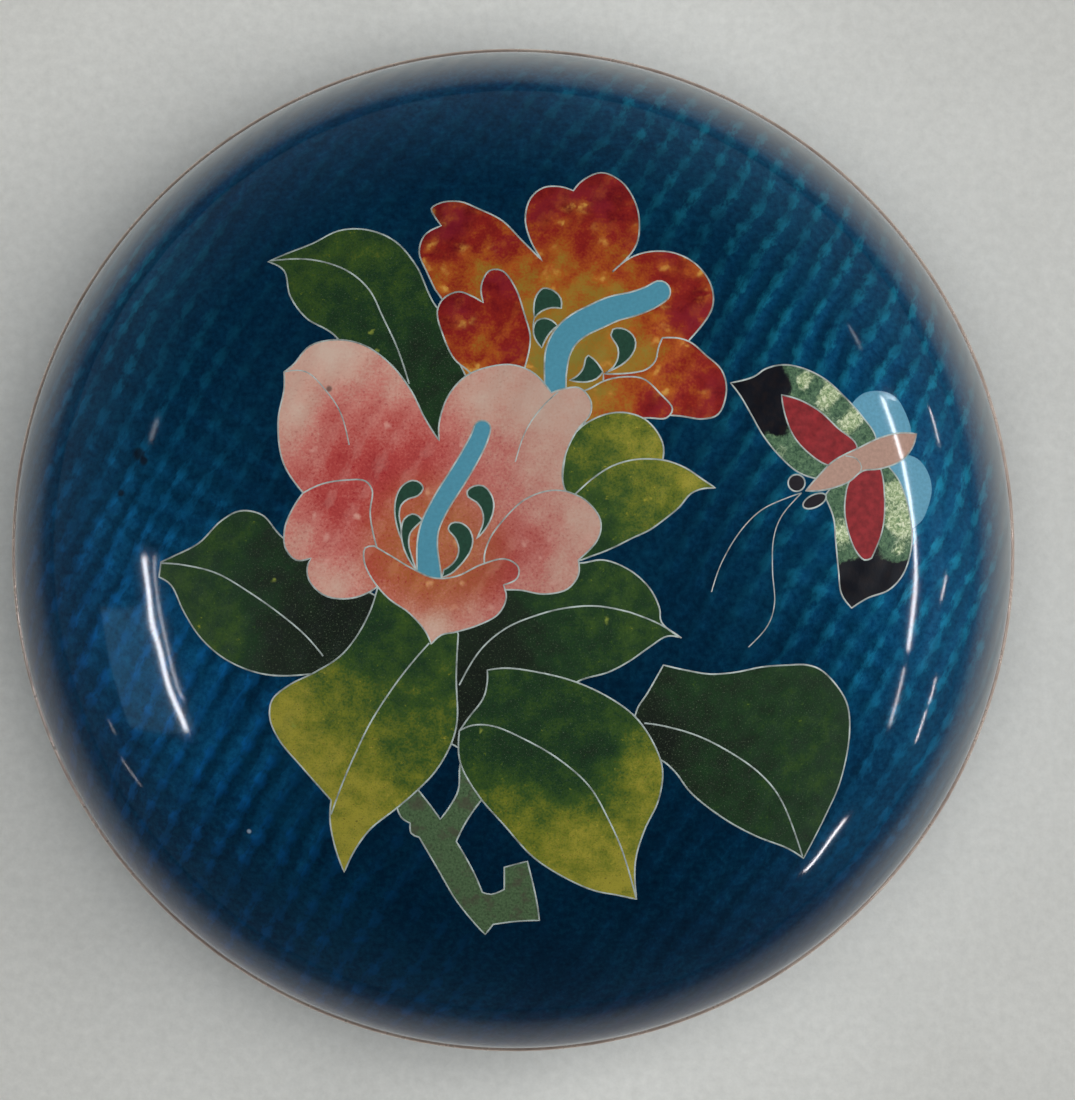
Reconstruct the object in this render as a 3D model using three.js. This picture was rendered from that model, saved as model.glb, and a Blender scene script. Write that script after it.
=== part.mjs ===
// A round cloisonné box: an enamelled copper bowl on a foot ring, and a domed lid that lifts off it.
// Millimetres, +Z up. The origin is the centre of the foot ring's underside.
import * as THREE from "three";

// Overall sizes
const EDGE_DIAMETER = 100; // across the bare metal edges where lid and base meet
const SEAM_HEIGHT = 25; // from the table to the face where the lid sits on the base
const DOME_RISE = 22; // the lid's enamel above its metal edge
const FOOT_DIAMETER = 60; // across the outside of the foot ring
const FOOT_HEIGHT = 3; // how far the foot ring stands below the enamel

// Walls: spun copper, enamel fused to its outside, thinner enamel fused to its inside
const COPPER_THICKNESS = 0.8;
const ENAMEL_THICKNESS = 1;
const LINING_THICKNESS = 0.6;

// The bare metal edge around each mouth, which holds the enamel in
const EDGE_HEIGHT = 1.2;
const EDGE_PROUD = 0.4; // how far it stands out past the enamel
const EDGE_CHAMFER = 0.3;

// The foot ring
const FOOT_WIDTH = 1.6;
const FOOT_CHAMFER = 0.25;

// The collar inside the base's mouth, which the lid drops over
const COLLAR_THICKNESS = 0.8;
const COLLAR_CLEARANCE = 0.5; // to the lid's copper where that comes nearest
const COLLAR_RISE = 3; // above the seam
const COLLAR_DEPTH = 4.5; // below the seam, soldered to the base
const COLLAR_CHAMFER = 0.25;
const LINING_GAP = 0.6; // from the collar's top up to the lid's lining

// Facets
const ROUND_STEPS = 40; // around the axis
const CURVE_STEPS = 7; // along each curved wall

// Radii and heights that follow from the sizes above
const edgeRadius = EDGE_DIAMETER / 2;
const enamelRadius = edgeRadius - EDGE_PROUD;
const copperRadius = enamelRadius - ENAMEL_THICKNESS;
const wallRadius = copperRadius - COPPER_THICKNESS;
const liningRadius = wallRadius - LINING_THICKNESS;
const footRadius = FOOT_DIAMETER / 2;
const footBore = footRadius - FOOT_WIDTH;
const lidEdgeTop = SEAM_HEIGHT + EDGE_HEIGHT;
const baseEdgeBottom = SEAM_HEIGHT - EDGE_HEIGHT;
const bowlDepth = baseEdgeBottom - FOOT_HEIGHT;
const collarTop = SEAM_HEIGHT + COLLAR_RISE;
const collarBottom = SEAM_HEIGHT - COLLAR_DEPTH;
const liningBottom = collarTop + LINING_GAP;

// Points [radius, height] along an elliptical wall, from its crown or floor down or up to a given height.
// The ellipse is centred at (flat, level), where flat is the radius of the floor, or 0 for a crown.
function curve(flat, level, reach, rise, endHeight) {
  const lastTurn = Math.acos((endHeight - level) / rise);
  return Array.from({ length: CURVE_STEPS + 1 }, (_, i) => {
    const turn = (lastTurn * i) / CURVE_STEPS;
    return [flat + reach * Math.sin(turn), level + rise * Math.cos(turn)];
  });
}

// One face of the lid's wall: curved from the crown to where the lining stops, then one step to the edge.
function domeFace(radius) {
  const rise = DOME_RISE - (enamelRadius - radius);
  return {
    curved: curve(0, lidEdgeTop, radius, rise, liningBottom),
    mouth: [radius, lidEdgeTop],
  };
}

// One face of the bowl's wall: curved from the flat floor to where the collar starts, then one step to the edge.
function bowlFace(radius) {
  const depth = bowlDepth - (enamelRadius - radius);
  return {
    curved: curve(footRadius, baseEdgeBottom, radius - footRadius, -depth, collarBottom),
    mouth: [radius, baseEdgeBottom],
    floor: baseEdgeBottom - depth,
  };
}

const dome = {
  enamel: domeFace(enamelRadius),
  copper: domeFace(copperRadius),
  wall: domeFace(wallRadius),
  lining: domeFace(liningRadius),
};
const bowl = {
  enamel: bowlFace(enamelRadius),
  copper: bowlFace(copperRadius),
  wall: bowlFace(wallRadius),
  lining: bowlFace(liningRadius),
};

// The collar clears the lid's copper at the lining's lower rim, where the lid has already curved in.
const narrowestLidRadius = dome.wall.curved.at(-1)[0];
const collarRadius = narrowestLidRadius - COLLAR_CLEARANCE;
const collarBore = collarRadius - COLLAR_THICKNESS;

// A face's points in order from its mouth back to its crown or floor.
const fromMouth = (face) => [face.mouth, ...[...face.curved].reverse()];

// A solid of revolution around Z. With radius drawn to the right, the profile keeps the material on its left.
function turned(name, profile, material) {
  const outline = profile.map(([radius, height]) => new THREE.Vector2(radius, height));
  const geometry = new THREE.LatheGeometry(outline, ROUND_STEPS).rotateX(Math.PI / 2);
  const mesh = new THREE.Mesh(geometry, material);
  mesh.name = name;
  return mesh;
}

const copper = new THREE.MeshStandardMaterial({ color: 0xb98a5e, roughness: 0.3, metalness: 1 });
const blueEnamel = new THREE.MeshStandardMaterial({ color: 0x0b3f66, roughness: 0.12, metalness: 0 });
const plainEnamel = new THREE.MeshStandardMaterial({ color: 0x0e2c4a, roughness: 0.2, metalness: 0 });

// The lid's spun copper shell, turned out at its mouth into the bare metal edge.
function lidBody() {
  const profile = [
    ...dome.wall.curved,
    dome.wall.mouth,
    [wallRadius, SEAM_HEIGHT],
    [edgeRadius - EDGE_CHAMFER, SEAM_HEIGHT],
    [edgeRadius, SEAM_HEIGHT + EDGE_CHAMFER],
    [edgeRadius, lidEdgeTop - EDGE_CHAMFER],
    [edgeRadius - EDGE_CHAMFER, lidEdgeTop],
    ...fromMouth(dome.copper),
  ];
  return turned("lid_body", profile, copper);
}

// The thick outer enamel of the lid, ground flush and polished.
function lidEnamel() {
  const profile = [...dome.copper.curved, dome.copper.mouth, ...fromMouth(dome.enamel)];
  return turned("lid_enamel", profile, blueEnamel);
}

// The plain enamel inside the lid, which stops above the collar.
function lidLining() {
  const profile = [...dome.lining.curved, ...[...dome.wall.curved].reverse()];
  return turned("lid_lining", profile, plainEnamel);
}

// The base's spun copper bowl with its bare metal edge.
function baseBody() {
  const profile = [
    [0, bowl.copper.floor],
    ...bowl.copper.curved,
    bowl.copper.mouth,
    [edgeRadius - EDGE_CHAMFER, baseEdgeBottom],
    [edgeRadius, baseEdgeBottom + EDGE_CHAMFER],
    [edgeRadius, SEAM_HEIGHT - EDGE_CHAMFER],
    [edgeRadius - EDGE_CHAMFER, SEAM_HEIGHT],
    [wallRadius, SEAM_HEIGHT],
    ...fromMouth(bowl.wall),
    [0, bowl.wall.floor],
  ];
  return turned("base_body", profile, copper);
}

// The outer enamel of the bowl's side, from the foot ring to the metal edge.
function baseEnamel() {
  const start = bowl.enamel.curved[0];
  const profile = [...bowl.enamel.curved, bowl.enamel.mouth, ...fromMouth(bowl.copper), start];
  return turned("base_enamel", profile, blueEnamel);
}

// The plain enamel inside the bowl, which stops below the collar.
function baseLining() {
  const profile = [
    [0, bowl.wall.floor],
    ...bowl.wall.curved,
    ...[...bowl.lining.curved].reverse(),
    [0, bowl.lining.floor],
  ];
  return turned("base_lining", profile, plainEnamel);
}

// The enamel panel under the base, inside the foot ring.
function undersideEnamel() {
  const profile = [
    [0, bowl.enamel.floor],
    [footBore, bowl.enamel.floor],
    [footBore, bowl.copper.floor],
    [0, bowl.copper.floor],
  ];
  return turned("underside_enamel", profile, plainEnamel);
}

// The foot ring, soldered to the copper between the side's enamel and the underside's.
function footRing() {
  const profile = [
    [footBore + FOOT_CHAMFER, 0],
    [footRadius - FOOT_CHAMFER, 0],
    [footRadius, FOOT_CHAMFER],
    [footRadius, bowl.copper.floor],
    [footBore, bowl.copper.floor],
    [footBore, FOOT_CHAMFER],
    [footBore + FOOT_CHAMFER, 0],
  ];
  return turned("foot_ring", profile, copper);
}

// The collar: below the seam it follows the base's copper, above it stands clear of the lid's.
function locatingCollar() {
  const profile = [
    [collarBore, collarBottom],
    bowl.wall.curved.at(-1),
    bowl.wall.mouth,
    [wallRadius, SEAM_HEIGHT],
    [collarRadius, SEAM_HEIGHT],
    [collarRadius, collarTop - COLLAR_CHAMFER],
    [collarRadius - COLLAR_CHAMFER, collarTop],
    [collarBore, collarTop],
    [collarBore, collarBottom],
  ];
  return turned("locating_collar", profile, copper);
}

const lid = new THREE.Group();
lid.add(lidBody(), lidEnamel(), lidLining());

const base = new THREE.Group();
base.add(baseBody(), baseEnamel(), baseLining(), undersideEnamel(), footRing(), locatingCollar());

const box = new THREE.Group();
box.add(base, lid);

export default box;
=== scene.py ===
"""Looks of a round cloisonné box: a flush wire picture on its domed lid, and a plainer base."""

import math
from collections import defaultdict

import bpy
import numpy as np
from mathutils import Matrix, Vector
from mathutils.geometry import delaunay_2d_cdt
from mathutils.kdtree import KDTree


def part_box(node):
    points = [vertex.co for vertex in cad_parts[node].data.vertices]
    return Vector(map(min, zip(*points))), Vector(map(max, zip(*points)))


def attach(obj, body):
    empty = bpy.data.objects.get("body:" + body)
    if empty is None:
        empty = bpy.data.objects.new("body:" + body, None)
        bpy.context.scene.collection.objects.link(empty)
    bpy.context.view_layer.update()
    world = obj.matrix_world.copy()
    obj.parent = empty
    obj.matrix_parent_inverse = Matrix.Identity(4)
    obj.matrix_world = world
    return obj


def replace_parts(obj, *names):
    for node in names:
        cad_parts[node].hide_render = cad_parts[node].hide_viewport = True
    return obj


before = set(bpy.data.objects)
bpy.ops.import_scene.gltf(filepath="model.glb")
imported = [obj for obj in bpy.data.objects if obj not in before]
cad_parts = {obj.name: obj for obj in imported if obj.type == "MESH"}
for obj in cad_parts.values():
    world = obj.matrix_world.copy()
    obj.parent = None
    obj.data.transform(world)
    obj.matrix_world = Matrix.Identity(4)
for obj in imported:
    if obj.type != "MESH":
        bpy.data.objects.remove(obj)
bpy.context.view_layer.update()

MM = 0.001  # the picture is drawn in millimetres, Blender works in metres

# Sizes taken from the frame, in millimetres
lid_glass = [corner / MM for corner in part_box("lid_enamel")]
lid_metal = [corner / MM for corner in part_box("lid_body")]
base_glass = [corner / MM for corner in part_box("base_enamel")]
foot_box = [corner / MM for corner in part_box("foot_ring")]
underside_box = [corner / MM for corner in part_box("underside_enamel")]

DOME_REACH = lid_glass[1].x
DOME_LEVEL = lid_glass[0].z
DOME_RISE = lid_glass[1].z - DOME_LEVEL
GLASS = lid_glass[1].z - lid_metal[1].z
WALL = 0.8  # the copper's thickness
SEAM = lid_metal[0].z
EDGE_RADIUS = lid_metal[1].x
BASE_LEVEL = base_glass[1].z
BASE_DEPTH = BASE_LEVEL - base_glass[0].z
FOOT_RADIUS = foot_box[1].x
FOOT_BORE = underside_box[1].x
FLOOR = BASE_LEVEL - BASE_DEPTH
WALL_RADIUS = DOME_REACH - GLASS - WALL

# Camera: straight above, a little to the right of the box's axis
CAMERA_PLAN = np.array([2.42, 0.0])
CAMERA_DISTANCE = 450.0  # above the seam
FRAME_WIDTH = 107.4  # how much of the seam's plane the picture's width shows
SENSOR = 36.0

# Mesh
CURVE_STEP = 0.4  # between the points of a drawn line
SHEET_STEP = 0.7  # between the points that fill the cells
FILLING_GAP = 0.45 * SHEET_STEP  # from those points to the drawn lines
TOUCHING = 0.02  # points of a wire nearer than this count as one
CAP_STEPS = 8  # around the end of a finger
ELLIPSE_STEPS = 24
ROUND_STEPS = 240  # around the axis
WALL_STEPS = 40  # along a curved wall
TURNED_SHARP = math.radians(30)  # edges that bend more than this stay sharp
WIRE_SHARP = math.radians(50)

# Wires
WIRE_WIDTH = 0.15
WIRE_DEPTH = 0.3
WIRE_PROUD = 0.025

# The bare metal edge
BEAD_ROUND = 0.55  # how far in its rounded part starts
BEAD_POWER = 0.7  # 1 is round, less is squarer
BEAD_STEPS = 16

# The foot ring's rounded lower corners: how far in from its side, and how far up
FOOT_CORNER = [(0.3, 0), (0.08, 0.1), (0, 0.35)]

# The foil under the glass: rows of dimples
FOIL_TURN = math.radians(58)
FOIL_PITCH = 2.8

SHADE_BLUR = 1.5  # how softly a cell's tones run into each other
CLEAR_OF_RIM_REFLECTION = 20.0  # so far in from the lid's mouth there is no painted reflection of the paper, and no darker band


# Curves and the dome


def smooth(points):
    """A smooth curve through the points, from the first to the last, in short steps."""
    p = np.array(points, float)
    gaps = np.linalg.norm(np.diff(p, axis=0), axis=1)
    spans = np.sqrt(gaps)
    slopes = np.diff(p, axis=0) / spans[:, None]
    tangents = np.repeat(slopes[:1], len(p), axis=0)
    if len(p) > 2:
        before, after = spans[:-1, None], spans[1:, None]
        tangents[1:-1] = (slopes[:-1] * after + slopes[1:] * before) / (before + after)
        tangents[0] = 1.5 * slopes[0] - 0.5 * tangents[1]
        tangents[-1] = 1.5 * slopes[-1] - 0.5 * tangents[-2]
    path = []
    for i, gap in enumerate(gaps):
        count = max(1, round(gap / CURVE_STEP))
        t = np.arange(count)[:, None] / count
        path.append(
            p[i] * (2 * t**3 - 3 * t**2 + 1)
            + p[i + 1] * (3 * t**2 - 2 * t**3)
            + tangents[i] * spans[i] * (t**3 - 2 * t**2 + t)
            + tangents[i + 1] * spans[i] * (t**3 - t**2)
        )
    return np.vstack([*path, p[-1:]])


def outline(*strokes):
    """A closed line of smooth strokes with a corner between each and the next."""
    start = strokes[-1][-1]
    path = []
    for stroke in strokes:
        path.append(smooth([start, *stroke])[:-1])
        start = stroke[-1]
    return np.vstack(path)


def finger(middle, widths):
    """A closed line around a smooth middle line, round at its far end, with the given widths along it."""
    line = smooth(middle)
    ahead = np.gradient(line, axis=0)
    side = np.stack([-ahead[:, 1], ahead[:, 0]], axis=1) / np.linalg.norm(ahead, axis=1)[:, None]
    along = np.linspace(0, len(widths) - 1, len(line))
    half = np.interp(along, range(len(widths)), widths)[:, None] / 2
    facing = math.atan2(side[-1][1], side[-1][0])
    turns = facing - np.linspace(0, math.pi, CAP_STEPS + 1)[1:-1]
    cap = line[-1] + half[-1] * np.stack([np.cos(turns), np.sin(turns)], axis=1)
    return np.vstack([line + side * half, cap, (line - side * half)[::-1]])


def ellipse(centre, across, high, turn=0.0):
    """A closed ellipse."""
    turns = np.linspace(0, 2 * math.pi, ELLIPSE_STEPS + 1)[:-1]
    x, y = across * np.cos(turns), high * np.sin(turns)
    return np.stack(
        [
            centre[0] + x * math.cos(turn) - y * math.sin(turn),
            centre[1] + x * math.sin(turn) + y * math.cos(turn),
        ],
        axis=1,
    )


def anticlockwise(line):
    """A closed line's points, in anticlockwise order."""
    ahead = np.roll(line, -1, axis=0)
    area = (line[:, 0] * ahead[:, 1] - ahead[:, 0] * line[:, 1]).sum()
    return line if area > 0 else line[::-1]


def dome_height(radius, inset=0.0):
    """Height of the lid's outer face, or of the face this far inside it, at a radius."""
    share = np.clip(radius / (DOME_REACH - inset), 0, 1)
    return DOME_LEVEL + (DOME_RISE - inset) * np.sqrt(1 - share**2)


# Lengths along the dome from its crown, for flattening it into a sheet
TURNS = np.linspace(0, math.pi / 2, 901)
SPEEDS = np.hypot(DOME_REACH * np.cos(TURNS), DOME_RISE * np.sin(TURNS))
LENGTHS = np.concatenate([[0], np.cumsum((SPEEDS[1:] + SPEEDS[:-1]) / 2 * np.diff(TURNS))])
SHEET_RADIUS = LENGTHS[-1]


def plan_from_view(points):
    """Where points seen by the camera lie on the dome, in plan."""
    plan = points
    for _ in range(4):
        above = dome_height(np.linalg.norm(plan, axis=1)) - SEAM
        plan = CAMERA_PLAN + (points - CAMERA_PLAN) * (1 - above / CAMERA_DISTANCE)[:, None]
    return plan


def sheet_from_view(points):
    """The same points on the flattened sheet of the dome."""
    plan = plan_from_view(np.array(points, float).reshape(-1, 2))
    radius = np.linalg.norm(plan, axis=1)
    length = np.interp(np.arcsin(radius / DOME_REACH), TURNS, LENGTHS)
    return plan * (length / np.maximum(radius, 1e-9))[:, None]


def dome_from_sheet(points, inset=0.0):
    """Points and outward normals on the dome, or on the face this far inside it, for points of the sheet."""
    length = np.linalg.norm(points, axis=1)
    direction = points / np.maximum(length, 1e-9)[:, None]
    turn = np.interp(length, LENGTHS, TURNS)
    reach, rise = DOME_REACH - inset, DOME_RISE - inset
    flat = direction * (reach * np.sin(turn))[:, None]
    place = np.column_stack([flat, DOME_LEVEL + rise * np.cos(turn)])
    normal = np.column_stack([direction * (np.sin(turn) * rise)[:, None], np.cos(turn) * reach])
    return place, normal / np.linalg.norm(normal, axis=1)[:, None]


# The picture, as seen by the camera, in millimetres on the seam's plane

cells = []
veins = []


def cell(figure, enamel, line, shade=((0, 0, 0.5),), blur=SHADE_BLUR, wired=True):
    """One cell of the picture, in front of the cells before it. Shade holds a few places and their tones."""
    kept = {"figure": figure, "enamel": enamel, "line": line, "shade": shade, "blur": blur, "wired": wired}
    cells.append(kept)


def leaf(*strokes, shade):
    cell("leaves", "leaf", outline(*strokes), shade)


def red_petal(*strokes, shade):
    cell("red_blossom", "red_petal", outline(*strokes), shade)


def pink_petal(*strokes, shade):
    cell("pink_blossom", "pink_petal", outline(*strokes), shade)


def stamen(figure, *strokes):
    cell(figure, "stamen", outline(*strokes))


def butterfly_part(enamel, *strokes, **look):
    cell("butterfly", enamel, outline(*strokes), **look)


def vein(*points, width=1.0):
    """A wire that parts no cells, such as a leaf's midrib."""
    veins.append((smooth(points), width))


def bent_vein(first, second):
    """A wire that runs through the first points, and with a corner there on through the second ones."""
    veins.append((np.vstack([smooth(first)[:-1], smooth([first[-1], *second])]), 1.0))


def draw_leaves():
    # Upper left
    leaf(
        [(-22.9, 29.5), (-20.1, 30.6), (-17.4, 31.9), (-14.7, 32.0), (-11.9, 30.9), (-9.7, 28.4),
         (-7.9, 24.6), (-4, 20), (-5, 10)],
        [(-12, 12), (-17.7, 21.3), (-20.7, 23.2), (-22.3, 25.4), (-22.9, 27.9), (-24.5, 28.8)],
        shade=[(-21, 26, 0.54), (-16, 30, 0.56), (-16, 23, 0.42), (-10, 26, 0.47), (-10, 19, 0.3)],
    )
    vein((-24.3, 28.9), (-20.1, 29.0), (-16.6, 27.9), (-14.4, 26.0), (-13.0, 23.2), (-11.6, 20.2),
         (-10.4, 16.6))
    # Right of the middle, dark at its base
    leaf(
        [(14.8, -7.2), (14.6, -5.8), (13.6, -3.8), (11.6, -2.0), (9.0, -1.0), (6.7, -1.3), (2, -1),
         (-8, -6)],
        [(-8, -12), (-7.5, -18), (-5, -20)],
        [(0, -18), (4, -15), (6.5, -13.1), (9.5, -12.2), (11.6, -11.1), (13.6, -9.7), (15.4, -8.6),
         (16.8, -8.8)],
        shade=[(-4, -14, 0.0), (-2, -8, 0.1), (4, -4, 0.42), (9, -3, 0.5), (8, -10, 0.45),
               (13, -7, 0.5)],
    )
    bent_vein(
        [(-5.4, -13.5), (-3.2, -9.9), (-0.7, -7.8), (2.4, -6.5), (5.2, -5.8), (8.3, -5.6), (11.6, -6.2)],
        [(14.6, -7.4), (16.8, -8.8)],
    )
    # Far right
    leaf(
        [(12.3, -16.1), (13.4, -14.3), (15.0, -11.5)],
        [(17.2, -12.0), (19.7, -12.4), (22.3, -12.2), (24.8, -11.7), (27.4, -11.5), (29.4, -11.5),
         (30.9, -12.1), (33.2, -15.0), (33.6, -18.0), (32.7, -23.0), (31.2, -26.5), (29.0, -30.8)],
        [(27.4, -29.8), (24.3, -28.6), (21.0, -26.8), (17.7, -24.2), (16.2, -22.2), (14.8, -21.0),
         (12, -20)],
        shade=[(14, -19, 0.0), (19, -22, 0.3), (19, -14, 0.36), (28, -15, 0.4), (30, -22, 0.44),
               (24, -27, 0.36)],
    )
    vein((13.1, -17.3), (15.1, -17.6), (18.5, -18.6), (21.8, -20.3), (24.6, -22.3), (26.6, -24.7),
         (28.9, -30.6))
    # Far left
    leaf(
        [(-33.9, -0.6), (-31.4, 0.7), (-29.2, 2.9), (-27.3, 3.9), (-25.1, 3.5), (-23.0, 1.2), (-13, -5)],
        [(-14, -11), (-20.4, -12.4), (-24.9, -12.4), (-28.6, -11.0), (-31.2, -8.8), (-32.9, -6.2),
         (-34.2, -3.5), (-35.4, -2.7)],
        [(-35.2, -1.2)],
        shade=[(-33, -2, 0.5), (-28, 2, 0.48), (-29, -8, 0.55), (-24, -1, 0.25), (-22, -9, 0.1),
               (-17, -6, 0.0)],
    )
    vein((-35.2, -1.3), (-32.9, -1.5), (-29.7, -2.3), (-26.4, -4.2), (-22.9, -6.7), (-20.7, -8.6),
         (-19.0, -10.6))
    draw_stem()
    # Lower left
    leaf(
        [(-14.3, -6.1), (-15.7, -8.7), (-17.3, -10.6), (-19.8, -12.2), (-22.4, -13.5), (-24.1, -15.0),
         (-24.3, -16.9), (-23.3, -19.1), (-21.2, -21.6), (-18.2, -25.0)],
        [(-18.3, -27.1), (-17.8, -29.7), (-16.9, -32.2)],
        [(-15.9, -30.1), (-14.3, -27.9), (-11.8, -25.9), (-9.8, -24.2), (-7.7, -22.0), (-6.1, -19.1),
         (-5.6, -16.9), (-5.7, -12.8), (-5.5, -8.4)],
        [(-8, -4), (-12, -2), (-13.6, -3.9)],
        shade=[(-15, -8, 0.42), (-18, -15, 0.72), (-22.5, -16.5, 0.98), (-10, -12, 0.5),
               (-10, -19, 0.66), (-16, -28, 1.0), (-18, -22, 0.93)],
    )
    vein((-8.4, -9.3), (-10.4, -11.6), (-12.2, -14.0), (-14.3, -17.3), (-15.9, -20.6), (-17.1, -23.4),
         (-18.2, -26.4))
    # Lower middle
    leaf(
        [(-4.5, -16.8), (-3.0, -14.8), (-2.6, -13.2), (-2.6, -12.0)],
        [(-0.7, -11.8), (2.4, -12.2), (6.0, -13.1), (9.5, -14.7), (12.1, -16.6), (13.9, -19.1),
         (14.9, -21.9), (14.5, -25.0), (13.1, -28.0), (12.2, -31.1), (12.3, -34.9)],
        [(10.5, -34.5), (8.0, -34.0), (4.9, -32.6), (1.9, -30.6), (-0.9, -27.5), (-3.5, -24.5),
         (-5.3, -21.2), (-5.4, -18.1)],
        shade=[(-2, -15, 0.44), (4, -15, 0.44), (8, -20, 0.36), (13, -22, 0.9), (0, -20, 0.36),
               (0, -26, 0.78), (5, -22, 0.4), (6, -29, 0.94), (11, -33, 1.0)],
    )
    bent_vein(
        [(-5.3, -18.0), (-4.0, -17.5), (-2.0, -17.6), (1.1, -18.9), (4.4, -20.8), (7.5, -23.5),
         (9.3, -26.5)],
        [(10.8, -29.8), (12.3, -34.9)],
    )


def draw_stem():
    cell(
        "stem",
        "stem",
        outline(
            [(-11.6, -25.8)],
            [(-11.2, -26.7), (-10.3, -27.3)],
            [(-10.2, -28.3), (-9.4, -28.7)],
            [(-7.7, -31.6), (-5.7, -35.0), (-3.5, -37.7), (-2.8, -38.4)],
            [(-2.0, -37.4)],
            [(0.3, -37.1), (2.6, -37.0)],
            [(2.3, -34.9), (1.4, -31.1)],
            [(-0.9, -31.7)],
            [(-0.9, -33.9)],
            [(-2.2, -34.4), (-3.1, -34.2)],
            [(-4.0, -32.1), (-5.7, -29.1)],
            [(-4.5, -26.8), (-2.0, -23.5)],
            [(-4.5, -19.5)],
            [(-5.3, -21.4), (-5.5, -24.0), (-6.4, -25.7), (-7.3, -26.9)],
            [(-8.3, -25.5), (-9.4, -24.1), (-10.5, -22.5)],
            [(-12, -24)],
        ),
    )


def draw_small_leaf():
    leaf(
        [(5.0, 8.2), (5.6, 10.8), (6.8, 12.3), (8.5, 13.3), (9.9, 13.7), (11.4, 13.7), (13.1, 13.1),
         (14.3, 11.9), (15.0, 10.3), (14.7, 8.0)],
        [(9, 5), (4.9, 5.0)],
        shade=[(7, 10, 0.66), (11, 12, 0.8), (14, 10, 0.9), (7, 7.5, 0.6)],
    )
    leaf(
        [(8.0, 7.2), (9.9, 8.4), (11.9, 9.0), (13.6, 9.1), (15.4, 8.9), (17.2, 8.2), (19.0, 7.0),
         (20.2, 6.2)],
        [(18.8, 6.1), (17.7, 5.6), (16.6, 4.3), (15.4, 3.3), (13.6, 2.0), (11.9, 1.2), (9.9, 0.2),
         (8.1, -0.5), (6.0, -1.0), (4.5, 1.5), (5.6, 5.0)],
        shade=[(8, 1, 0.4), (10, 5, 0.6), (14, 4, 0.72), (17, 7, 0.88), (12, 8, 0.8)],
    )


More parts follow.
